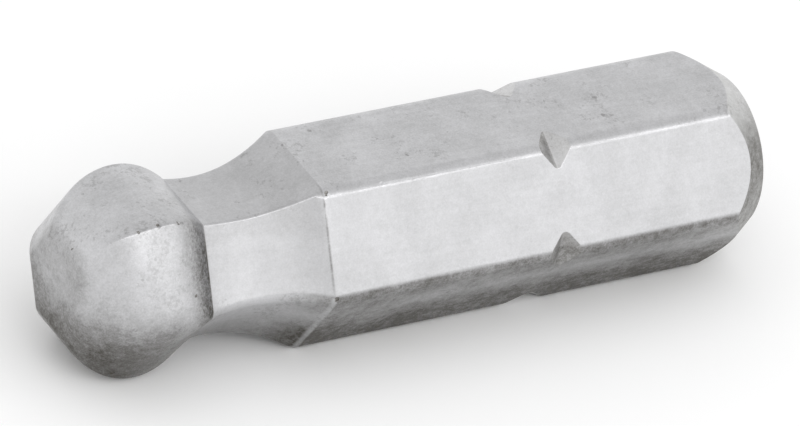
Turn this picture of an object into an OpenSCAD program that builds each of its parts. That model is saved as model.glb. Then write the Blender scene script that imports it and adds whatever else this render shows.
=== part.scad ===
// Ball-end hex bit: one solid piece of tool steel. A bar with six flats is the drive shank,
// its front is ground to a waisted neck and to a ball with six flats, and six notches across
// the shank's corners take the detent of a bit holder.
// The axis runs along X with the ball at -X. The bit lies on one flat of its shank, at Z = 0.
// Every length is in millimetres.

/* [Shank] */
// Distance across two opposite flats of the shank
shank_af = 6.35; // [6.2:0.05:7]
// Length of the whole bit, from the ball's tip to the shank's end face
overall_l = 25.4; // [22:0.1:60]
// Radius of the bar's six rounded corners
corner_r = 0.5; // [0.2:0.05:0.8]

/* [Shank end] */
// Diameter of the round end face inside the chamfer
end_face_d = 5.25; // [4:0.05:5.9]
// Angle of the end chamfer, measured from the axis
end_chamfer_a = 33; // [20:1:60]

/* [Detent notches] */
// Distance from the end face to the bottom of the notches
notch_from_end = 8.25; // [4:0.05:11]
// Width of a notch along the axis, at the rounded corner
notch_w = 1.15; // [0.6:0.05:2]
// Depth of a notch below the rounded corner
notch_depth = 0.37; // [0.2:0.01:0.6]

/* [Neck] */
// Distance from the tip to the shoulder, where the neck runs out into the flats
shoulder_x = 8.4; // [7.8:0.05:9]
// Distance across flats at the waist, the thinnest place of the neck
waist_af = 4.5; // [3.9:0.05:4.8]
// Radius of the hollow that is ground into each flat of the neck
neck_r = 6.05; // [5:0.05:8]

/* [Ball] */
// Distance across two opposite flats of the ball, at its widest place
ball_af = 6.05; // [5.8:0.05:6.15]
// Distance from the tip to the ball's widest place
ball_x = 2.46; // [2.2:0.02:2.6]
// Radius of the arc that each flat of the ball follows along the axis
ball_r = 2.77; // [2.7:0.01:2.85]

/* [Hidden] */
$fn = 96;
// Half a corner of the hexagon, seen from the axis
half_side_a = 30;
// Room that a cutter keeps outside the bar
clear = 1;
// The arc of a corner stands this much proud of the two flats, which trim it to clean edges
corner_proud = 0.0005;
// Distance from the axis to the centre of a corner's arc, and to the outside of the arc
corner_centre = (shank_af / 2 - corner_r + corner_proud) / cos(half_side_a);
corner_reach = corner_centre + corner_r;
// Depth of the neck's hollow at the waist, below the shank's flat
hollow_depth = (shank_af - waist_af) / 2;
// Place of the waist: the hollow's arc reaches the shank's flat at the shoulder
waist_x = shoulder_x - sqrt(2 * neck_r * hollow_depth - pow(hollow_depth, 2));
// The neck's outline starts inside the ball, on the line between the centres of the two arcs
neck_start_x = ball_x + (waist_x - ball_x) * ball_r / (ball_r + neck_r);
// Height of the centre of the ball's arc above the axis: nothing is ground off below it
ball_centre_h = ball_af / 2 - ball_r;
// Radius of the chamfer's cone at the ball's tip, where it clears the whole bit
chamfer_reach = end_face_d / 2 + overall_l * tan(end_chamfer_a);

// Section of the bar: a hexagon with a flat on top, and rounded corners
module bar_section() {
    intersection() {
        circle(r = shank_af / 2 / cos(half_side_a), $fn = 6);
        union() {
            for (turn = [0, 60, 120])
                rotate(turn) square([corner_centre, 2 * shank_af], center = true);
            for (turn = [0:60:300])
                rotate(turn) translate([-corner_centre, 0]) circle(r = corner_r);
        }
    }
}

// Side view of what is ground off above one flat: the neck's hollow, and all that stands in
// front of it, down to the arc of the ball
module grinding_outline() {
    difference() {
        union() {
            translate([waist_x, waist_af / 2 + neck_r]) circle(r = neck_r);
            translate([-clear, ball_centre_h]) square([clear + neck_start_x, shank_af]);
        }
        translate([ball_x, ball_centre_h]) circle(r = ball_r);
    }
}

// One pass of the grinding wheel, straight across the flat on top of the bar
module grinding_pass() {
    rotate([90, 0, 0]) linear_extrude(height = 2 * shank_af, center = true) grinding_outline();
}

// The drawn bar with its end chamfer, which is turned as a cone about the axis
module chamfered_bar() {
    intersection() {
        rotate([90, 0, 90]) linear_extrude(height = overall_l) bar_section();
        rotate([0, 90, 0]) cylinder(h = overall_l, r1 = chamfer_reach, r2 = end_face_d / 2);
    }
}

// Cutter for one notch: a V that lies across a corner, drawn twice as deep as it cuts
module notch_cutter() {
    translate([overall_l - notch_from_end, 0, corner_reach - notch_depth])
        rotate([90, 0, 0]) linear_extrude(height = shank_af, center = true)
            polygon([[0, 0], [notch_w, 2 * notch_depth], [-notch_w, 2 * notch_depth]]);
}

module hex_bit() {
    color("silver")
        translate([-overall_l / 2, 0, shank_af / 2])
            difference() {
                chamfered_bar();
                for (turn = [0:60:300])
                    rotate([turn, 0, 0]) {
                        grinding_pass();
                        rotate([half_side_a, 0, 0]) notch_cutter();
                    }
            }
}

hex_bit();
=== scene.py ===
# %% [markdown]
# # A ball-end hex bit
#
# The real thing is one piece of hardened tool steel, about an inch long. A hexagonal bar is
# drawn, its end is turned to a chamfer, a grinding wheel hollows its six flats to a neck and
# rounds them to a ball, and V notches are pressed across its corners for the holder's spring
# ring. Then it is tumbled, which leaves a satin skin with small dents and softened edges.
#
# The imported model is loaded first. It is the frame that every size and place comes from: the
# bit lies along X with its ball at -X, and rests on one flat at Z = 0.

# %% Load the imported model
import math
import random
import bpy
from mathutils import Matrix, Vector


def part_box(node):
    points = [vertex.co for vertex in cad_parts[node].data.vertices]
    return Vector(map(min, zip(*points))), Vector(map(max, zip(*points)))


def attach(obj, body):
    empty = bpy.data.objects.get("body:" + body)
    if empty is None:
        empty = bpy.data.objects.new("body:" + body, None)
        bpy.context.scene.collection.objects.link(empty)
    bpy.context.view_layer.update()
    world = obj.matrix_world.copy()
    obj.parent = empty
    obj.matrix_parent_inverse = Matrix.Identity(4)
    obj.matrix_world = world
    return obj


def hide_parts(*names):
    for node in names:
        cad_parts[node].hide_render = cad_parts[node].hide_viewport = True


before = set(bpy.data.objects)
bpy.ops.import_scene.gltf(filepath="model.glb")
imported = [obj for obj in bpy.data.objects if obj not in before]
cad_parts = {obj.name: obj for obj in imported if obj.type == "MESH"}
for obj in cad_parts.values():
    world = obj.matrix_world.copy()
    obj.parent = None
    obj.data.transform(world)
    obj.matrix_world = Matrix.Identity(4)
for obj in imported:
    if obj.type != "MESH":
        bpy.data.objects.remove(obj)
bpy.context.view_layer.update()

from types import SimpleNamespace

import bmesh
import bpy
from mathutils import Matrix, Vector

low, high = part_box("hex_bit")
print("packed bit, lowest corner:", tuple(round(value, 5) for value in low))
print("packed bit, highest corner:", tuple(round(value, 5) for value in high))

# %% [markdown]
# Blender's own start-up cube, lamp and camera have no place in this scene, so they go.

# %% Clear the start-up scene
for name in ("Cube", "Light", "Camera"):
    if name in bpy.data.objects:
        bpy.data.objects.remove(bpy.data.objects[name])

# %% [markdown]
# ## Sizes
#
# The two overall sizes are read from the frame, so that the finished bit always fills it. The
# rest are the same lengths as in the construction, in millimetres. Blender works in metres,
# so one value, MM, turns them over. HAIR is the millimetres within which two places count as
# the same.

# %% Driving sizes
MM = 0.001
HAIR = 0.001
COS30 = math.cos(math.radians(30))
TAN30 = math.tan(math.radians(30))

bit_length = (high.x - low.x) / MM
shank_flats = (high.z - low.z) / MM
tip_x = low.x / MM
axis_z = (high.z + low.z) / 2 / MM

corner_radius = 0.5
end_face_radius = 5.25 / 2
chamfer_angle = math.radians(33)

notch_from_end = 8.25
notch_width = 1.15
notch_depth = 0.37

shoulder_x = 8.4
waist_flats = 4.5
hollow_radius = 6.05

ball_flats = 6.05
ball_x = 2.46
ball_radius = 2.77

print(f"bit {bit_length:.2f} mm long, {shank_flats:.2f} mm across flats")

# %% [markdown]
# ## The side view
#
# Seen from the side, the distance from the axis to a flat follows three lines: the ball's
# arc, the hollow's arc and the straight bar. Their meeting points are worked out, because the
# finished edges run through them.

# %% Arcs of the side view
hollow_depth = (shank_flats - waist_flats) / 2
waist_x = shoulder_x - math.sqrt(2 * hollow_radius * hollow_depth - hollow_depth ** 2)
ball_centre = Vector((ball_x, ball_flats / 2 - ball_radius))
hollow_centre = Vector((waist_x, waist_flats / 2 + hollow_radius))


def meeting_point():
    """Where the ball's arc runs into the hollow, on the neck's side."""
    between = hollow_centre - ball_centre
    distance = between.length
    along = (distance ** 2 + ball_radius ** 2 - hollow_radius ** 2) / (2 * distance)
    aside = math.sqrt(ball_radius ** 2 - along ** 2)
    direction = between.normalized()
    return ball_centre + along * direction + aside * Vector((direction.y, -direction.x))


throat = meeting_point()
print(f"ball meets neck {throat.x:.2f} mm from the tip, {throat.y:.2f} mm from the axis")
print(f"waist {waist_x:.2f} mm from the tip")

# %% [markdown]
# Each arc becomes a row of stations, close enough together to look round. A station is a
# place along the axis and the distance from the axis to the flats there. The bar is straight,
# so it has only two: one a little way past the shoulder, and one at the end.

# %% Stations along the bit
arc_step = math.radians(3)
past_shoulder = 0.25


def arc_stations(centre, radius, start_x, end_x, side):
    """Stations on one arc, from start_x to end_x. side is 1 for a hill and -1 for a hollow."""
    first = math.asin((start_x - centre.x) / radius)
    last = math.asin((end_x - centre.x) / radius)
    count = math.ceil((last - first) / arc_step)
    stations = []
    for step in range(count + 1):
        angle = first + (last - first) * step / count
        stations.append((centre.x + radius * math.sin(angle),
                         centre.y + side * radius * math.cos(angle)))
    return stations


ball_stations = arc_stations(ball_centre, ball_radius, 0, throat.x, 1)
hollow_stations = arc_stations(hollow_centre, hollow_radius, throat.x, shoulder_x, -1)
bar_stations = [(shoulder_x + past_shoulder, shank_flats / 2), (bit_length, shank_flats / 2)]
print(len(ball_stations), "ball,", len(hollow_stations), "hollow stations")

# %% [markdown]
# ## Rounded corners
#
# The bar was drawn through a die, so its corners have a real radius. The wheel then cut the
# neck's and the ball's corners fresh, and tumbling only took their sharpness off, most of all
# near the tip, where the bit knocks against the others. One corner, at the front, came out of
# the wheel blunter than the rest. Close to the shoulder the drawn corner is what is left
# outside the fresh one, and the radius grows from one to the other.

# %% Corner radius at a station
fresh_corner = 0.13
worn_tip_corner = 0.3
wear_reach = 0.9
blunt_ball_corner = 1.2
blunt_neck_corner = 0.4
blunt_run = 1.6
drawn_reach = (shank_flats / 2 - corner_radius) / COS30 + corner_radius
blend_flat = drawn_reach * COS30


def corner_at(x, flat):
    """Radius of the section's corners at a station."""
    if x < throat.x:
        share = max(0.0, 1 - (x / wear_reach) ** 2)
        return fresh_corner + (worn_tip_corner - fresh_corner) * share
    share = max(0.0, (flat - blend_flat) / (shank_flats / 2 - blend_flat))
    return fresh_corner + (corner_radius - fresh_corner) * min(1.0, share)


def blunt_corner_at(x):
    """Radius of the blunt front corner at a station."""
    share = min(1.0, max(0.0, (throat.x - x) / blunt_run))
    return blunt_neck_corner + (blunt_ball_corner - blunt_neck_corner) * share


print(f"corner radius on the ball {fresh_corner} mm, and {blunt_ball_corner} mm on its blunt one")

# %% [markdown]
# The six passes of a wheel are never quite equal. Around the throat this bit's section lies a
# few hundredths of a millimetre high, and a little to the back.

# %% Run-out of the ball and neck
run_out = 0.05
run_out_aside = 0.02
run_out_start = 1.6
run_out_end = 6.6


def run_out_share(x):
    """How much of the run-out a section has: it swells from 0 to 1 and back."""
    share = (x - run_out_start) / (run_out_end - run_out_start)
    return math.sin(math.pi * share) ** 2 if 0 < share < 1 else 0.0


print(f"at the throat the section lies {run_out * run_out_share(throat.x):.3f} mm high")

# %% [markdown]
# The pass below the front corner took less off than the one above it. So the front corner
# stands lower than it should at the throat, on the line of the upper front flat.

# %% A low front corner
low_corner = 0.36
low_fade = 1.6
down_the_flat = Vector((0, -0.5, -COS30))


def low_at(x):
    """How far the front corner is moved down the upper front flat at x."""
    reach = shoulder_x - throat.x if x > throat.x else blunt_run
    share = min(1.0, abs(x - throat.x) / reach)
    return low_corner * (1 - share) ** low_fade


print(f"at the throat the front corner stands {low_at(throat.x):.2f} mm low")

# %% [markdown]
# ## Lofting the body
#
# A hexagonal body whose width changes can be carved from a block, or lofted: a section is
# drawn at each station and the sections are joined. Lofting is chosen, because each section
# is just a six-sided circle with bevelled corners, and the flats come out truly straight
# across, as a grinding wheel leaves them.

# %% One section
CORNER_STEPS = 5
upright = Matrix(((0, 0, 1, 0), (1, 0, 0, 0), (0, 1, 0, 0), (0, 0, 0, 1)))
flat_on_top = upright @ Matrix.Rotation(math.radians(30), 4, "Z")


def round_corners(body, corners, radius):
    """Rounds the corners of a flat section."""
    bmesh.ops.bevel(body, geom=corners, offset=radius * TAN30 * MM, offset_type="ABSOLUTE",
                    affect="VERTICES", segments=CORNER_STEPS, profile=0.5, material=-1)


def add_section(body, x, flat):
    """Draws a rounded hexagon across the axis and returns its edges."""
    share = run_out_share(x)
    centre = Vector((tip_x + x, run_out_aside * share, axis_z + run_out * share))
    circle = bmesh.ops.create_circle(body, cap_ends=True, segments=6, radius=flat / COS30 * MM,
                                     matrix=Matrix.Translation(centre * MM) @ flat_on_top)
    corners = sorted(circle["verts"], key=lambda corner: corner.co.y)
    corners[0].co += low_at(x) * MM * down_the_flat
    round_corners(body, corners[:1], max(corner_at(x, flat), blunt_corner_at(x)))
    round_corners(body, corners[1:3], corner_at(x, flat))
    round_corners(body, corners[3:], corner_at(max(x, wear_reach), flat))
    body.faces.ensure_lookup_table()
    face = body.faces[-1]
    edges = list(face.edges)
    bmesh.ops.delete(body, geom=[face], context="FACES_ONLY")
    return edges


print("each section has", 6 * (CORNER_STEPS + 1), "edges")

# %% [markdown]
# The sections are bridged in pairs, from the tip to the shank's end. Then both ends are
# closed, and the normals are turned outwards.

# %% Join the sections
body = bmesh.new()
sections = [add_section(body, x, flat)
            for x, flat in ball_stations + hollow_stations[1:] + bar_stations]
for near, far in zip(sections, sections[1:]):
    bmesh.ops.bridge_loops(body, edges=near + far)
bmesh.ops.contextual_create(body, geom=sections[0])
bmesh.ops.contextual_create(body, geom=sections[-1])
bmesh.ops.recalc_face_normals(body, faces=body.faces)
print(len(sections), "sections,", len(body.faces), "faces, volume",
      round(body.calc_volume() / MM ** 3, 1), "mm3")

# %% [markdown]
# ## Worn creases
#
# Three creases run around the bit: the rim of the flat tip, the throat where the ball meets
# the neck, and the shoulder. A small bevel on each loop of edges gives them the width that
# tumbling left. The shoulder is the sharpest of them.

# %% Bevel the creases
def edges_at(body, x):
    """The loop of edges that lies across the axis at x."""
    place = (tip_x + x) * MM
    return [edge for edge in body.edges
            if all(abs(vertex.co.x - place) < HAIR * MM for vertex in edge.verts)]


shoulder_wear = 0.03
rim, seam, shoulder = (0, 0.07, 3), (throat.x, 0.06, 3), (shoulder_x, shoulder_wear, 2)
for x, width, steps in (rim, seam, shoulder):
    loop = edges_at(body, x)
    bmesh.ops.bevel(body, geom=loop, offset=width * MM, offset_type="OFFSET", affect="EDGES",
                    segments=steps, profile=0.5, material=-1)
    print(f"crease {x:.2f} mm from the tip: {len(loop)} edges")

# %% [markdown]
# ## Four finishes on one piece
#
# The skin is tumbled all over, but the turned chamfer, the pressed notches and the bottoms of
# deep knocks keep a finish of their own. Each finish is a material, and a cutter that carries
# one leaves it on the faces that it cuts. The materials are only named here. Their nodes come
# later.

# %% Name the finishes
SKIN, TURNED, PRESSED, KNOCKED = 0, 1, 2, 3
finishes = [bpy.data.materials.new(name) for name in (
    "tumbled_tool_steel", "turned_tool_steel", "pressed_tool_steel", "knocked_tool_steel")]


def finish_object(name, mesh_builder, materials):
    """Turns a bmesh into an object at the origin."""
    mesh = bpy.data.meshes.new(name)
    mesh_builder.to_mesh(mesh)
    mesh_builder.free()
    thing = bpy.data.objects.new(name, mesh)
    bpy.context.scene.collection.objects.link(thing)
    for material in materials:
        mesh.materials.append(material)
    return thing


bit = finish_object("ball_end_bit", body, finishes)
print("finishes:", [material.name for material in bit.data.materials])

# %% [markdown]
# ## Chamfer
#
# The chamfer is turned in a lathe, so its cutter is a spun blank: what stands outside it is
# taken off. The lathe gripped the bar a few hundredths off its middle, so the chamfer is a
# little wider on one side. The cut is made with the Boolean modifier's exact solver, and its
# result becomes the bit's new mesh.

# %% A cut
print("the bit before any cut has", len(bit.data.polygons), "faces")


def cut(thing, tool, operation):
    """Cuts thing with tool, keeps the result and throws the tool away."""
    modifier = thing.modifiers.new("cut", "BOOLEAN")
    modifier.object = tool
    modifier.operation = operation
    modifier.solver = "EXACT"
    modifier.use_self = True
    depsgraph = bpy.context.evaluated_depsgraph_get()
    mesh = bpy.data.meshes.new_from_object(thing.evaluated_get(depsgraph))
    thing.modifiers.remove(modifier)
    thing.data = mesh
    bpy.data.objects.remove(tool)
    print(operation.lower(), "leaves", len(mesh.polygons), "faces")


# %% Turned blank
BLANK_STEPS = 160
rim_radius = 0.07
blank_radius = 5.0
blank_lead = 1.0
off_middle = 0.02
blank_run = (blank_radius - end_face_radius) / math.tan(chamfer_angle)
lathe_centre = Vector((tip_x, off_middle, axis_z + off_middle))

blank = bmesh.new()
outline = [blank.verts.new(Vector((x, 0, r)) * MM) for x, r in (
    (-blank_lead, 0), (-blank_lead, blank_radius), (bit_length - blank_run, blank_radius),
    (bit_length, end_face_radius), (bit_length, 0))]
for pair in zip(outline, outline[1:]):
    blank.edges.new(pair)
bmesh.ops.bevel(blank, geom=[outline[3]], offset=rim_radius * MM, offset_type="ABSOLUTE",
                affect="VERTICES", segments=3, profile=0.5, material=-1)
bmesh.ops.spin(blank, geom=blank.verts[:] + blank.edges[:], cent=(0, 0, 0), axis=(1, 0, 0),
               angle=math.tau, steps=BLANK_STEPS, use_merge=True)
bmesh.ops.remove_doubles(blank, verts=blank.verts, dist=HAIR / 2 * MM)
bmesh.ops.recalc_face_normals(blank, faces=blank.faces)
bmesh.ops.translate(blank, verts=blank.verts, vec=lathe_centre * MM)
for face in blank.faces:
    face.material_index = TURNED
print("blank volume", round(blank.calc_volume() / MM ** 3, 1), "mm3")
cut(bit, finish_object("turned_blank", blank, finishes), "INTERSECT")

# %% [markdown]
# ## Notches
#
# Each notch is a V pressed straight across a corner. A wedge is a circle of three sides,
# drawn out across the corner: six of them stand around the bar, each struck a little off the
# common line, because the press works one corner at a time.

# %% One wedge
valley_x = bit_length - notch_from_end
valley_radius = drawn_reach - notch_depth
wall_slope = math.atan(notch_depth / (notch_width / 2))
BOTTOM_STEPS = 8
struck_off = (0.04, 0.04, -0.09, -0.12, 0.04, -0.05)
struck_wide = (1.0, 1.05, 1.4, 1.2, 1.0, 1.15)
struck_round = (0.25, 0.3, 0.3, 0.2, 0.2, 0.25)


def add_wedge(tool, turn):
    """Adds the wedge that presses the notch of one corner."""
    before = set(tool.verts)
    triangle = bmesh.ops.create_circle(tool, cap_ends=True, segments=3, radius=MM)["verts"]
    stretch = Vector((2 * notch_width * struck_wide[turn] / math.sqrt(3), 4 * notch_depth / 3, 1))
    bmesh.ops.rotate(tool, verts=triangle, matrix=Matrix.Rotation(math.radians(180), 3, "Z"))
    lowest = min(corner.co.y for corner in triangle)
    bmesh.ops.translate(tool, verts=triangle, vec=(0, -lowest, 0))
    bmesh.ops.scale(tool, verts=triangle, vec=stretch)
    sides = bmesh.ops.extrude_face_region(tool, geom=triangle[0].link_faces[:])["geom"]
    moved = [part for part in sides if isinstance(part, bmesh.types.BMVert)]
    bmesh.ops.translate(tool, verts=moved, vec=(0, 0, shank_flats * MM))
    bottom = [edge for corner in triangle if abs(corner.co.y) < HAIR * MM
              for edge in corner.link_edges if edge.other_vert(corner) in moved]
    bmesh.ops.bevel(tool, geom=bottom, offset=struck_round[turn] * math.tan(wall_slope) * MM,
                    offset_type="OFFSET", affect="EDGES", segments=BOTTOM_STEPS, profile=0.5,
                    material=-1)
    wedge = [corner for corner in tool.verts if corner not in before]
    bmesh.ops.translate(tool, verts=wedge, vec=(0, 0, -shank_flats / 2 * MM))
    bmesh.ops.rotate(tool, verts=wedge, matrix=Matrix.Rotation(math.radians(90), 3, "X"))
    bmesh.ops.translate(tool, verts=wedge, vec=Vector(
        (tip_x + valley_x + struck_off[turn], 0, valley_radius)) * MM)
    to_corner = Matrix.Rotation(math.radians(30 + 60 * turn), 3, "X")
    bmesh.ops.rotate(tool, verts=wedge, matrix=to_corner)
    bmesh.ops.translate(tool, verts=wedge, vec=(0, 0, axis_z * MM))


print(f"the walls of a notch fall at {math.degrees(wall_slope):.0f} degrees")

# %% Six notches
press = bmesh.new()
for turn in range(6):
    add_wedge(press, turn)
bmesh.ops.recalc_face_normals(press, faces=press.faces)
for face in press.faces:
    face.material_index = PRESSED
print("six wedges", round(press.calc_volume() / MM ** 3, 2), "mm3")
cut(bit, finish_object("notch_press", press, finishes), "DIFFERENCE")

# %% [markdown]
# The cuts leave edges with no width. Tumbling gave them a little, so every hard edge behind
# the shoulder gets a very small bevel. Points that the cuts left almost on top of each other
# are merged first, because a bevel can be no wider than the shortest edge beside it.

# %% Bevel the cut edges
edge_width = 0.035
merge_within = 0.012
collapse_under = 0.004
hard_angle = math.radians(18)
clear_of_shoulder = 0.3
behind = (tip_x + shoulder_x + clear_of_shoulder) * MM

tumbled = bmesh.new()
tumbled.from_mesh(bit.data)
bmesh.ops.remove_doubles(tumbled, verts=tumbled.verts, dist=merge_within * MM)
bmesh.ops.dissolve_degenerate(tumbled, edges=tumbled.edges, dist=collapse_under * MM)
hard = [edge for edge in tumbled.edges
        if edge.is_manifold and edge.calc_face_angle() > hard_angle
        and min(vertex.co.x for vertex in edge.verts) > behind]
bmesh.ops.bevel(tumbled, geom=hard, offset=edge_width * MM, offset_type="OFFSET",
                affect="EDGES", segments=2, profile=0.5, material=-1, clamp_overlap=True)
tumbled.to_mesh(bit.data)
tumbled.free()
print(len(hard), "hard edges bevelled;", len(bit.data.polygons), "faces")

# %% [markdown]
# ## Knocks
#
# Bits knock against each other in the drum and in the drawer. Most knocks hit a corner. A
# knock is a shallow dent, and is cut with a small round ball that dips into the surface.
# Where each ball goes is found by looking at the bit from outside, square to the axis, and
# taking the point where that line meets the steel.

# %% Place one ball
look_from = 8
print("the steel is looked for from", look_from, "mm off the axis")


def add_ball(tool, x, turn, radius, depth):
    """Adds a ball that dents the bit at x from the tip, turned about the axis from +Y."""
    angle = math.radians(turn)
    outwards = Vector((0, math.cos(angle), math.sin(angle)))
    axis = Vector((tip_x + x, 0, axis_z)) * MM
    found, place, normal, index = bit.ray_cast(axis + outwards * look_from * MM, -outwards)
    if found:
        centre = place + normal * (radius - depth) * MM
        bmesh.ops.create_icosphere(tool, subdivisions=3, radius=radius * MM,
                                   matrix=Matrix.Translation(centre))
    return found


# %% [markdown]
# A chip is a cluster of small deep blows. The chips are listed one by one, each by its distance
# from the tip, its turn about the axis in degrees, and its size. The dings are wide and
# shallow, and fall by chance along the shank's six corners. The chance has a fixed seed, so
# that they fall alike in every run.

# %% Where the knocks fall
BLOWS = 4
chips = ((2.34, 118.5, 0.09), (3.08, 119.7, 0.06), (1.64, 119.8, 0.06), (4.19, 178, 0.08),
         (8.5, 121, 0.1), (8.45, 178.5, 0.09), (0.1, 104, 0.05), (3.5, 164, 0.07),
         (1.5, 234, 0.1))
chance = random.Random(11)

blows = []
for x, turn, size in chips:
    for blow in range(BLOWS):
        blows.append((x + chance.uniform(-0.4, 0.4) * size, turn + chance.uniform(-12, 12) * size,
                      size * chance.uniform(0.4, 0.8), size * chance.uniform(0.25, 0.4)))
dings = []
for corner in range(6):
    for blow in range(BLOWS):
        dings.append((chance.uniform(shoulder_x + 1, bit_length - 1.8),
                      60 * corner + chance.uniform(-5, 5), chance.uniform(0.4, 0.8),
                      chance.uniform(0.006, 0.014)))
print(len(blows), "blows for", len(chips), "chips, and", len(dings), "dings")

# %% [markdown]
# One cutter carries a whole group of balls. After the cut, the rim of each dent is marked
# sharp, so that the shading doesn't run over it. Dings are as bright as the skin around them,
# and chips are darker.

# %% Knock the bit
def knock(places, finish):
    """Dents the bit at each place, keeps the rims sharp and gives the dents their finish."""
    tool = bmesh.new()
    count = sum(add_ball(tool, *place) for place in places)
    for face in tool.faces:
        face.material_index = KNOCKED
    cut(bit, finish_object("knocks", tool, finishes), "DIFFERENCE")
    dented = bmesh.new()
    dented.from_mesh(bit.data)
    for edge in dented.edges:
        sides = {face.material_index == KNOCKED for face in edge.link_faces}
        edge.smooth = edge.smooth and len(sides) == 1
    for face in dented.faces:
        if face.material_index == KNOCKED:
            face.material_index = finish
    dented.to_mesh(bit.data)
    dented.free()
    print(count, "knocks with finish", finishes[finish].name)


knock(dings, SKIN)
knock(blows, KNOCKED)

# %% [markdown]
# ## Shading
#
# Flats have to look flat although small rounded edges run along them. All faces are shaded
# smooth, and the normals are weighted by face area, so a large flat keeps its own normal and
# the narrow bevels do the turning.

# %% Smooth shading with weighted normals
bit.data.shade_smooth()
weighted = bit.modifiers.new("weighted_normals", "WEIGHTED_NORMAL")
weighted.mode = "FACE_AREA"
weighted.weight = 50
weighted.keep_sharp = True
print("materials used:", sorted({face.material_index for face in bit.data.polygons}))

# %% [markdown]
# ## Colours and nodes
#
# Colours are written as they look, as sRGB hex values. The shaders work in linear light, so
# one function turns them over. Another adds a node with its settings and its links.

# %% Colour and node helpers
def linear(hex_colour):
    """sRGB hex to the linear colour that the shaders work in."""
    values = [int(hex_colour[i:i + 2], 16) / 255 for i in (1, 3, 5)]
    return tuple(v / 12.92 if v <= 0.04045 else ((v + 0.055) / 1.055) ** 2.4 for v in values) + (1,)


def add_node(tree, kind, inputs, **settings):
    """Adds a shader node. An input is a value, or a node or one of its outputs to link from."""
    node = tree.nodes.new("ShaderNode" + kind)
    for name, value in settings.items():
        setattr(node, name, value)
    for name, value in inputs.items():
        source = value.outputs[0] if isinstance(value, bpy.types.Node) else value
        if isinstance(source, bpy.types.NodeSocket):
            tree.links.new(source, node.inputs[name])
        else:
            node.inputs[name].default_value = source
    return node


print("linear value of a mid grey:", round(linear("#808080")[0], 3))

# %% [markdown]
# ## Places on the bit
#
# Wear and grime depend on where they are: how far along from the tip, how far to the side and
# how high from the axis, how far beside the upper front corner, and how squarely the place
# faces out of the upper front flat. These are worked out once for each finish, in millimetres,
# from the Object coordinates, which stay fixed to the steel however the bit is moved.

# %% Places on the bit
front_flat_normal = Vector((0, -COS30, 0.5))
upper_corner_side = Vector((0, COS30, 0.5))


def find_places(tree):
    """Adds the nodes that tell a place on the bit, in millimetres."""
    metres = add_node(tree, "TexCoord", {}).outputs["Object"]
    point = add_node(tree, "Mapping", {"Vector": metres, "Scale": (1 / MM,) * 3})
    from_tip = add_node(tree, "Mapping", {"Vector": point, "Location": (-tip_x, 0, -axis_z)})
    axes = add_node(tree, "SeparateXYZ", {0: from_tip}).outputs
    off_axis = add_node(tree, "Mapping", {"Vector": from_tip, "Scale": (0, 1, 1)})
    reach = add_node(tree, "VectorMath", {0: off_axis}, operation="LENGTH").outputs["Value"]
    outwards = add_node(tree, "VectorMath", {0: off_axis, 1: front_flat_normal},
                        operation="DOT_PRODUCT").outputs["Value"]
    beside = add_node(tree, "VectorMath", {0: off_axis, 1: upper_corner_side},
                      operation="DOT_PRODUCT").outputs["Value"]
    facing = add_node(tree, "Math", {0: outwards, 1: reach}, operation="DIVIDE")
    return SimpleNamespace(point=point, along=axes["X"], side=axes["Y"], height=axes["Z"],
                           beside_corner=beside, facing_front=facing)


print("the tip is at", round(tip_x, 2), "mm, the axis", round(axis_z, 3), "mm above the bench")

# %% [markdown]
# ## The steel's patterns
#
# Looked at closely, tumbled steel isn't one grey. It has soft cloudy patches a millimetre or
# so across, a mottle and a fine grit from the stones of the drum, and faint lines that the
# die drew along the bar. Each of these is one noise, and its scale is one divided by the size
# in millimetres of what it draws.

# %% Clouds, mottle, lines and grit
CLOUD, MOTTLE, DRAWN_LINE, GRIT = 1.5, 0.22, 0.14, 0.06
LINE_STRETCH = 0.08


def even_grain(tree, spot, line_share):
    """Adds the clouds, the mottle, the drawn lines and the grit, and returns their sum."""
    drawn_out = add_node(tree, "Mapping", {"Vector": spot.point, "Scale": (LINE_STRETCH, 1, 1)})
    lines = add_node(tree, "TexNoise", {"Vector": drawn_out, "Scale": 1 / DRAWN_LINE, "Detail": 2})
    mottle = add_node(tree, "TexNoise", {"Vector": spot.point, "Scale": 1 / MOTTLE,
                                         "Detail": 3, "Roughness": 0.6})
    clouds = add_node(tree, "TexNoise", {"Vector": spot.point, "Scale": 1 / CLOUD,
                                         "Detail": 3, "Roughness": 0.55})
    grit = add_node(tree, "TexNoise", {"Vector": spot.point, "Scale": 1 / GRIT,
                                       "Detail": 2, "Roughness": 0.6})
    grain = add_node(tree, "Mix", {0: line_share, 2: mottle, 3: lines}, data_type="FLOAT")
    for pattern in (clouds, grit):
        grain = add_node(tree, "Math", {0: grain, 1: pattern}, operation="ADD")
    return grain


print("the grain's patterns are", CLOUD, MOTTLE, DRAWN_LINE, "and", GRIT, "mm across")

# %% [markdown]
# The neck, which the wheel ground fine, and the upper front flat of the shank are calmer:
# there the sum is drawn in towards its middle. How squarely a place faces out of that flat is
# 1 at its middle and falls to 0.87 at its edges. Where a mask has to end at an edge of the
# steel, it does so within CRISP, in millimetres.

# %% Grain of the steel
GRAIN_LOW, GRAIN_MIDDLE, GRAIN_HIGH = 1.1, 1.5, 1.9
CALMED_BY = 0.3
FLAT_EDGE, ON_FLAT = 0.87, 0.91
CRISP = 0.02


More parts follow.
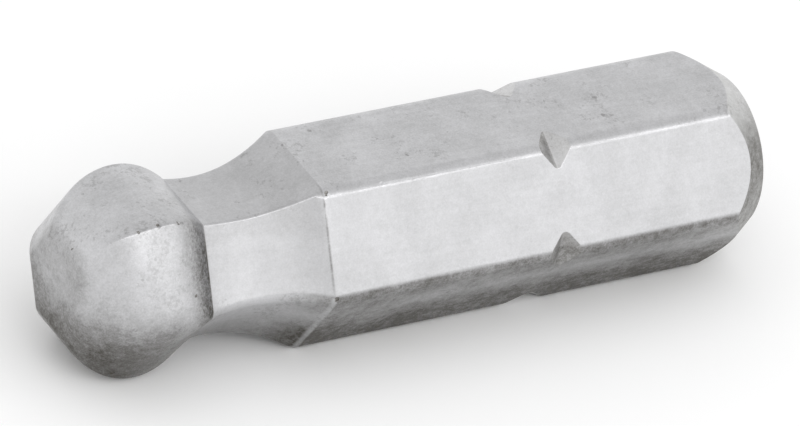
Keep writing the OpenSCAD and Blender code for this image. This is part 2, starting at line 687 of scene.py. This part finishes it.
def steel_grain(tree, spot, line_share):
    """Adds the grain, calmed on the neck and on the upper front flat, and returns it."""
    grain = even_grain(tree, spot, line_share)
    on_front = add_node(tree, "MapRange", {
        "Value": spot.facing_front, "From Min": FLAT_EDGE,
        "From Max": ON_FLAT}, interpolation_type="SMOOTHSTEP")
    off_shank = add_node(tree, "MapRange", {"Value": spot.along, "From Min": shoulder_x + CRISP,
                                            "From Max": shoulder_x})
    smooth_side = add_node(tree, "Math", {0: on_front, 1: off_shank}, operation="MAXIMUM")
    calm = add_node(tree, "MapRange", {"Value": spot.along, "From Min": throat.x,
                                       "From Max": throat.x + CRISP, "To Max": smooth_side})
    strength = add_node(tree, "Math", {0: calm, 1: -CALMED_BY, 2: 1}, operation="MULTIPLY_ADD")
    swing = add_node(tree, "Math", {0: grain, 1: GRAIN_MIDDLE}, operation="SUBTRACT")
    return add_node(tree, "Math", {0: swing, 1: strength, 2: GRAIN_MIDDLE},
                    operation="MULTIPLY_ADD")


print(f"the grain swings {CALMED_BY:.0%} less on the neck and on the upper front flat")

# %% [markdown]
# Pits are small, dark and ragged, and lie in groups. The finest are specks: the peaks of a
# noise, helped up where the groups are. The ball and the lower sides have more of them.

# %% Fine specks
FLECK = 0.16
GROUP_HELP, BALL_HELP, LOWER_HELP = 0.8, 0.1, 0.06
SPECK_EDGE, SPECK_HEART = 1.02, 1.12
SPECK_STRENGTH = 0.45


def fine_specks(tree, spot, groups, on_ball):
    """Adds the fine specks and returns their mask."""
    peaks = add_node(tree, "TexNoise", {"Vector": spot.point, "Scale": 1 / FLECK,
                                        "Detail": 4, "Roughness": 0.75})
    flecks = add_node(tree, "Math", {0: groups, 1: GROUP_HELP, 2: peaks},
                      operation="MULTIPLY_ADD")
    flecks = add_node(tree, "Math", {0: on_ball, 1: BALL_HELP, 2: flecks},
                      operation="MULTIPLY_ADD")
    below = add_node(tree, "MapRange", {"Value": spot.height, "From Min": 0.1, "From Max": -0.3,
                                        "To Max": LOWER_HELP})
    flecks = add_node(tree, "Math", {0: flecks, 1: below}, operation="ADD")
    return add_node(tree, "MapRange", {
        "Value": flecks, "From Min": SPECK_EDGE, "From Max": SPECK_HEART,
        "To Max": SPECK_STRENGTH}, interpolation_type="SMOOTHSTEP")


print("the specks' noise is", FLECK, "mm wide")

# %% [markdown]
# The larger pits are the cells of a Voronoi pattern. Each is drawn in to a spot of its own
# size, and a fine noise pushes its outline about.

# %% Larger pits
PIT_CELL = 0.25
OUTLINE_NOISE, OUTLINE_PUSH = 0.4 * PIT_CELL, 0.7 * PIT_CELL
RAREST = 0.75
WIDEST_PIT = 0.4
PIT_STRENGTH = 0.8


def larger_pits(tree, spot, groups):
    """Adds the larger pits and returns their mask."""
    push = add_node(tree, "TexNoise", {"Vector": spot.point, "Scale": 1 / OUTLINE_NOISE,
                                       "Detail": 2}).outputs["Color"]
    pushed = add_node(tree, "VectorMath", {0: push, 1: (OUTLINE_PUSH,) * 3, 2: spot.point},
                      operation="MULTIPLY_ADD")
    cells = add_node(tree, "TexVoronoi", {"Vector": pushed, "Scale": 1 / PIT_CELL}).outputs
    lot = add_node(tree, "SeparateColor", {0: cells["Color"]})
    size = add_node(tree, "MapRange", {"Value": lot, "From Min": RAREST, "To Max": WIDEST_PIT})
    inside = add_node(tree, "Math", {0: size, 1: cells["Distance"]}, operation="SUBTRACT")
    grouped = add_node(tree, "MapRange", {
        "Value": groups, "From Min": 0.5, "From Max": 0.6, "To Max": PIT_STRENGTH},
        interpolation_type="SMOOTHSTEP")
    return add_node(tree, "MapRange", {"Value": inside, "From Min": -0.05, "From Max": 0.15,
                                       "To Max": grouped}, interpolation_type="SMOOTHSTEP")


print("one cell in", round(1 / (1 - RAREST)), "holds a pit; the cells are", PIT_CELL, "mm wide")

# %% [markdown]
# Specks and pits make one mask. The upper front flat of the shank came out nearly clean, so
# only a small share of them is left there.

# %% All the marks
GROUP = 1.3
CLEAN_SHARE = 0.15


def steel_marks(tree, spot):
    """Adds the fine specks and the larger pits, and returns their mask."""
    groups = add_node(tree, "TexNoise", {"Vector": spot.point, "Scale": 1 / GROUP,
                                         "Detail": 3, "Roughness": 0.65})
    on_ball = add_node(tree, "MapRange", {
        "Value": spot.along, "From Min": throat.x + CRISP, "From Max": throat.x, "To Max": 0.6})
    specks = fine_specks(tree, spot, groups, on_ball)
    larger = larger_pits(tree, spot, groups)
    off_flat = add_node(tree, "MapRange", {
        "Value": spot.facing_front, "From Min": ON_FLAT, "From Max": FLAT_EDGE,
        "To Min": CLEAN_SHARE, "To Max": 1}, interpolation_type="SMOOTHSTEP")
    where = add_node(tree, "Math", {0: off_flat, 1: on_ball}, operation="MAXIMUM")
    marks = add_node(tree, "Math", {0: specks, 1: larger}, operation="MAXIMUM")
    return add_node(tree, "Math", {0: where, 1: marks}, operation="MULTIPLY")


print(f"marks lie in groups of {GROUP} mm; the upper front flat keeps {CLEAN_SHARE:.0%} of them")

# %% [markdown]
# ## Grime and painted shade
#
# Grey-brown grime and painted shade darken the ball in front of the throat, the throat's
# crease, the foot of the shoulder, the ball's upper front corner, the tip, the top of the neck,
# and the lower sides, which lie close to the bench. Grime is what stays where a cloth doesn't
# reach. The painted shade stands for the shade in the creases and on the notch walls nearer the
# ball, for the shaded bench that the lower sides and the ball's underside reflect, and for a
# dimmer top of the neck. Several zones lie only on the front side. Each place is a zone. It has
# its greatest depth of darkening, and a list of ramps. A ramp names a value, where on it none of
# it gets in, and where all of it does. Along the bit it fades in over FADE, in millimetres. On
# the sides it grows from clean_above down to grimy_below, up to most, and ball_walls is
# how deep it lies on the walls of the notches that are nearer the ball. The first zone is a bare
# one, where none of it lies.

# %% Zones of grime and painted shade
BLOTCH, DOT = 0.35, 0.13
FADE = 1.5


def grime_and_shade_zones(tree, spot, clean_above, grimy_below, most, ball_walls):
    """Lists the zones, the bare foot of the shoulder first."""
    x, z = spot.along, spot.height
    foot = shoulder_x - shoulder_wear
    gap_noise = add_node(tree, "TexNoise", {"Vector": spot.point, "Scale": 1 / BLOTCH,
                                            "Detail": 3, "Roughness": 0.7})
    dot_noise = add_node(tree, "TexNoise", {"Vector": spot.point, "Scale": 1 / DOT,
                                            "Detail": 3, "Roughness": 0.7})
    dots = add_node(tree, "MapRange", {"Value": dot_noise, "From Min": 0.35, "From Max": 0.65,
                                       "To Min": 0.39, "To Max": 0.91})
    lower_side = add_node(tree, "MapRange", {
        "Value": x, "From Min": shoulder_x - FADE, "From Max": shoulder_x,
        "To Min": 0.6 * most, "To Max": most}, interpolation_type="SMOOTHSTEP")
    # front keeps a zone to the front side, more than a millimetre in front of the axis.
    front = (spot.side, -1.0, -1.8)
    gaps = (gap_noise, 0.42, 0.6)

    # The bare foot has none of the grime and painted shade, so a lighter line crosses the lower
    # half at the foot of the shoulder.
    bare_foot = (0.65, (x, foot - 0.16, foot - CRISP), (x, foot + 0.16, foot + CRISP),
                 (z, 0.12, 0.1))
    # The ring darkens the ball in front of the throat: partly grime, partly painted shade.
    ring = (dots, (x, throat.x - FADE, throat.x - 0.1),
            (x, throat.x + 0.05, throat.x + CRISP), front)
    # The seam is painted shade, a dark line in the throat's crease.
    seam = (0.8, (x, throat.x - 0.06, throat.x - 0.01), (x, throat.x + 0.06, throat.x + 0.01),
            front)
    # The foot line is a broken dark line in the shoulder's crease: grime and painted shade.
    foot_line = (0.42, (x, foot - 0.06, foot), (x, foot + 0.06, foot), (z, -0.4, 1.2),
                 (gap_noise, 0.3, 0.55), front)
    # The ball edge is a broken dark line along the ball's upper front corner.
    ball_edge = (0.6, (spot.beside_corner, -0.06, -0.02), (spot.beside_corner, 0.06, 0.02),
                 (x, throat.x - FADE, throat.x - 1.2), (x, throat.x + CRISP, throat.x), gaps,
                 front)
    # The corner zone is painted shade just below the front corner, on the lower front flat, for the
    # shaded bench that it reflects.
    corner = (0.6, (z, 0.25, 0.08), (z, -1.6, -0.2), (x, shoulder_x - FADE, shoulder_x),
              (x, bit_length - CRISP, bit_length - 0.06), front)
    # Near the foot of the shoulder, the lower sides of the shank get painted shade.
    near_foot = (0.58, (z, 0.1, -0.3), (x, shoulder_x + 5, shoulder_x + 1.5),
                 (x, shoulder_x - 0.3, shoulder_x))
    # Under darkens the lower sides: partly grime, partly painted shade for the shaded bench that
    # they reflect.
    under = (lower_side, (z, clean_above, grimy_below))
    # The ball's foot darkens the ball's underside: partly grime, partly painted shade.
    ball_foot = (0.8, (z, 1.1, -1.6), (x, throat.x + 0.5, throat.x - 1))
    # The tip is painted a little darker.
    tip = (0.28, (x, 0.3, 0))
    # This zone is painted shade that makes the top of the neck a little darker than the shank's.
    neck_top_shade = (0.1, (z, 1.6, 2), (x, throat.x, throat.x + CRISP),
            (x, shoulder_x + CRISP, shoulder_x))
    # The walls of the notches nearer the ball are painted shade.
    walls = (ball_walls, (x, valley_x + CRISP, valley_x))
    return (bare_foot, ring, seam, foot_line, ball_edge, corner, near_foot, under, ball_foot,
            tip, neck_top_shade, walls)


print("grime gathers", round(throat.x, 2), "and", shoulder_x, "mm from the tip, and below")

# %% [markdown]
# The zones are laid over each other, and the darkest at a place counts. Blotches and the
# grain break the grime and painted shade up, so that they never end in a clean line.

# %% Grime and painted shade on the steel
def steel_grime_and_shade(tree, spot, grain, **grime_and_shade_levels):
    """Adds the zones of grime and painted shade, breaks them up, and returns their mask."""
    masks = []
    for mask, *ramps in grime_and_shade_zones(tree, spot, **grime_and_shade_levels):
        for value, none, full in ramps:
            mask = add_node(tree, "MapRange", {"Value": value, "From Min": none, "From Max": full,
                                               "To Max": mask}, interpolation_type="SMOOTHSTEP")
        masks.append(mask)
    bare, grime_and_shade_mask, *others = masks
    for mask in others:
        grime_and_shade_mask = add_node(tree, "Math", {0: grime_and_shade_mask, 1: mask}, operation="MAXIMUM")

    blotch_noise = add_node(tree, "TexNoise", {"Vector": spot.point, "Scale": 1 / BLOTCH,
                                               "Detail": 4, "Roughness": 0.75})
    blotches = add_node(tree, "MapRange", {"Value": blotch_noise, "From Min": 0.35,
                                           "From Max": 0.65, "To Min": -1, "To Max": 1})
    swing = add_node(tree, "MapRange", {
        "Value": spot.along, "From Min": shoulder_x - FADE, "From Max": shoulder_x,
        "To Min": 0.08, "To Max": 0.24}, interpolation_type="SMOOTHSTEP")
    uneven = add_node(tree, "Math", {0: blotches, 1: swing, 2: 1}, operation="MULTIPLY_ADD")
    worn = add_node(tree, "MapRange", {"Value": grain, "From Min": 1.25, "From Max": 1.75,
                                       "To Min": 1.2, "To Max": 0.8})
    kept = add_node(tree, "Math", {0: 1, 1: bare}, operation="SUBTRACT")
    for share in (uneven, worn, kept):
        grime_and_shade_mask = add_node(tree, "Math", {0: grime_and_shade_mask, 1: share}, operation="MULTIPLY")
    grime_and_shade_mask.use_clamp = True
    return grime_and_shade_mask


print("each blotch is about", BLOTCH, "mm across")

# %% [markdown]
# ## The four steels
#
# They are one metal, so one function builds them all. Metallic is 1, and the base colour is
# the metal's own reflectance, a light grey. What differs is how bright, how rough and how
# dark each finish is: the tumbled skin is satin and mostly clean, but painted darker on its
# lower sides, the turned chamfer and the pressed notches are duller and carry grime and painted
# shade, and the knocks are darkest. The patterns vary colour, roughness and, with a shallow
# bump, the normal.

# %% Build a steel
# Grey-brown colour of the grime and of the painted shade.
GRIME_AND_SHADE = linear("#514e48")
PIT = linear("#5c5a57")
PIT_SHARE = 0.6
PIT_DEPTH = 1.2
ROUGH_SWING = 0.06
BUMP_HEIGHT = 0.002


def build_steel(material, light, dark, roughness, line_share, **grime_and_shade_levels):
    """Builds the nodes of one finish of the steel."""
    material.use_nodes = True
    tree = material.node_tree
    shader = tree.nodes["Principled BSDF"]
    shader.inputs["Metallic"].default_value = 1
    spot = find_places(tree)
    grain = steel_grain(tree, spot, line_share)
    marks = steel_marks(tree, spot)
    grime_and_shade_mask = steel_grime_and_shade(tree, spot, grain, **grime_and_shade_levels)

    share = add_node(tree, "MapRange", {"Value": grain, "From Min": GRAIN_LOW,
                                        "From Max": GRAIN_HIGH})
    colour = add_node(tree, "Mix", {0: share, 6: linear(dark), 7: linear(light)},
                      data_type="RGBA").outputs[2]
    stain = add_node(tree, "Math", {0: marks, 1: PIT_SHARE}, operation="MULTIPLY")
    # Over the steel's colour go the pits' stain, then the grime and painted shade.
    for mask, dark_colour in ((stain, PIT), (grime_and_shade_mask, GRIME_AND_SHADE)):
        colour = add_node(tree, "Mix", {0: mask, 6: colour, 7: dark_colour}, data_type="RGBA").outputs[2]
    tree.links.new(colour, shader.inputs["Base Color"])

    rough = add_node(tree, "MapRange", {
        "Value": grain, "From Min": GRAIN_LOW, "From Max": GRAIN_HIGH,
        "To Min": roughness + ROUGH_SWING, "To Max": roughness - ROUGH_SWING})
    tree.links.new(rough.outputs[0], shader.inputs["Roughness"])

    relief = add_node(tree, "Math", {0: marks, 1: -PIT_DEPTH, 2: grain}, operation="MULTIPLY_ADD")
    bump = add_node(tree, "Bump", {"Strength": 1, "Distance": BUMP_HEIGHT * MM, "Height": relief})
    tree.links.new(bump.outputs[0], shader.inputs["Normal"])
    print(material.name, "has", len(tree.nodes), "nodes")


# The skin and the knocks are painted darker on their lower sides: partly grime, partly painted
# shade.
build_steel(finishes[SKIN], "#cbcbcd", "#b1b1b2", roughness=0.34, line_share=0.35,
            clean_above=-0.3, grimy_below=-2.4, most=0.9, ball_walls=0)
# The chamfer is painted darker everywhere below its top corner: painted shade.
build_steel(finishes[TURNED], "#d2d2d2", "#b9b9b8", roughness=0.36, line_share=0.1,
            clean_above=3.2, grimy_below=1.7, most=0.68, ball_walls=0)
# The lower notches, and the walls of the notches nearer the ball, are painted darker: painted
# shade.
build_steel(finishes[PRESSED], "#d2d2d3", "#b4b3b2", roughness=0.36, line_share=0.1,
            clean_above=1.8, grimy_below=0.4, most=0.45, ball_walls=0.42)
build_steel(finishes[KNOCKED], "#a09e9b", "#7d7b78", roughness=0.5, line_share=0.1,
            clean_above=-0.3, grimy_below=-2.4, most=0.9, ball_walls=0)

# %% [markdown]
# ## The bench and the light
#
# The bit lies on a plain pale floor under a pale sky of light, as in a light tent.
# The floor is a matt white with no gloss, so that it takes a soft shadow and nothing else.

# %% Floor
half_floor = 0.6
card = bmesh.new()
bmesh.ops.create_grid(card, x_segments=1, y_segments=1, size=half_floor)
pale_card = bpy.data.materials.new("matt_white_card")
pale_card.use_nodes = True
card_shader = pale_card.node_tree.nodes["Principled BSDF"]
card_shader.inputs["Base Color"].default_value = linear("#fbfbfb")
card_shader.inputs["Roughness"].default_value = 1
card_shader.inputs["Specular IOR Level"].default_value = 0
floor = finish_object("floor", card, [pale_card])
print("floor", 2 * half_floor, "m wide")

# %% [markdown]
# The sky is white and almost even, as in a tent that is lit all round. Only its roof is a
# little darker than its walls.

# %% Sky
wall_glow, roof_glow = 1.06, 0.85
sky = bpy.data.worlds.new("studio_tent")
sky.use_nodes = True
bpy.context.scene.world = sky
sky_tree = sky.node_tree
direction = add_node(sky_tree, "TexCoord", {}).outputs["Generated"]
upwards = add_node(sky_tree, "SeparateXYZ", {0: direction}).outputs["Z"]
glow = add_node(sky_tree, "MapRange", {"Value": upwards, "From Min": 0.5, "From Max": 1,
                                       "To Min": wall_glow, "To Max": roof_glow})
sky_tree.links.new(glow.outputs[0], sky_tree.nodes["Background"].inputs["Strength"])
sky_tree.nodes["Background"].inputs["Color"].default_value = linear("#ffffff")
print("the tent's walls glow", wall_glow, "and its roof", roof_glow)

# %% [markdown]
# Three soft boxes add to it. A broad one stands in front, towards the shank's end, and
# brightens the front flats. Above it hang two narrow ones, end to end. The long one draws the
# bright lines along the rounded corners of the shank. The short one, on the ball's side, does
# the same on the neck and the ball, whose corners lean that way.

# %% Soft boxes
middle = Vector((0, 0, axis_z)) * MM
lamp_distance = 0.25


def softbox(name, azimuth, elevation, width, height, radiance):
    """A soft lamp that faces the bit. Azimuth turns from the front towards the shank's end."""
    turn, lift = math.radians(azimuth), math.radians(elevation)
    direction = Vector((math.sin(turn) * math.cos(lift), -math.cos(turn) * math.cos(lift),
                        math.sin(lift)))
    lamp = bpy.data.lights.new(name, "AREA")
    lamp.shape = "RECTANGLE"
    lamp.size = width
    lamp.size_y = height
    lamp.energy = radiance * math.pi * width * height
    box = bpy.data.objects.new(name, lamp)
    box.location = middle + direction * lamp_distance
    box.rotation_euler = direction.to_track_quat("Z", "Y").to_euler()
    bpy.context.scene.collection.objects.link(box)
    print(f"{name}: {lamp.energy:.4f} W")


softbox("front_softbox", azimuth=32, elevation=16, width=0.17, height=0.1, radiance=0.38)
softbox("strip_softbox", azimuth=25, elevation=38, width=0.36, height=0.04, radiance=2.05)
softbox("side_strip_softbox", azimuth=-27, elevation=42, width=0.2, height=0.03, radiance=2.6)

# %% [markdown]
# ## Camera
#
# The bit is seen from in front and above, from the side of the ball. A long lens from a
# third of a metre keeps its flats nearly parallel, and the camera is rolled a little, so that
# the bit climbs across the frame.

# %% Camera
camera_azimuth = math.radians(-36.5)
camera_elevation = math.radians(34.3)
camera_roll = math.radians(11.15)
camera_distance = 0.3293
aim = Vector((0.095, -0.136, 3.38)) * MM
towards = Vector((math.sin(camera_azimuth) * math.cos(camera_elevation),
                  -math.cos(camera_azimuth) * math.cos(camera_elevation),
                  math.sin(camera_elevation)))
lens = bpy.data.cameras.new("camera")
lens.lens = 454.6
lens.sensor_width = 36
lens.clip_start = 0.01
camera = bpy.data.objects.new("camera", lens)
camera.matrix_world = (Matrix.Translation(aim + towards * camera_distance)
                       @ towards.to_track_quat("Z", "Y").to_matrix().to_4x4()
                       @ Matrix.Rotation(camera_roll, 4, "Z"))
bpy.context.scene.collection.objects.link(camera)
bpy.context.scene.camera = camera
bpy.context.scene.view_settings.view_transform = "Standard"
print(f"camera {camera_distance} m from the bit, lens {lens.lens:.1f} mm")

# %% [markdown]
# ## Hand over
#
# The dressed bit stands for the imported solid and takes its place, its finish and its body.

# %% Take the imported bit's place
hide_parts("hex_bit")
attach(bit, "root")
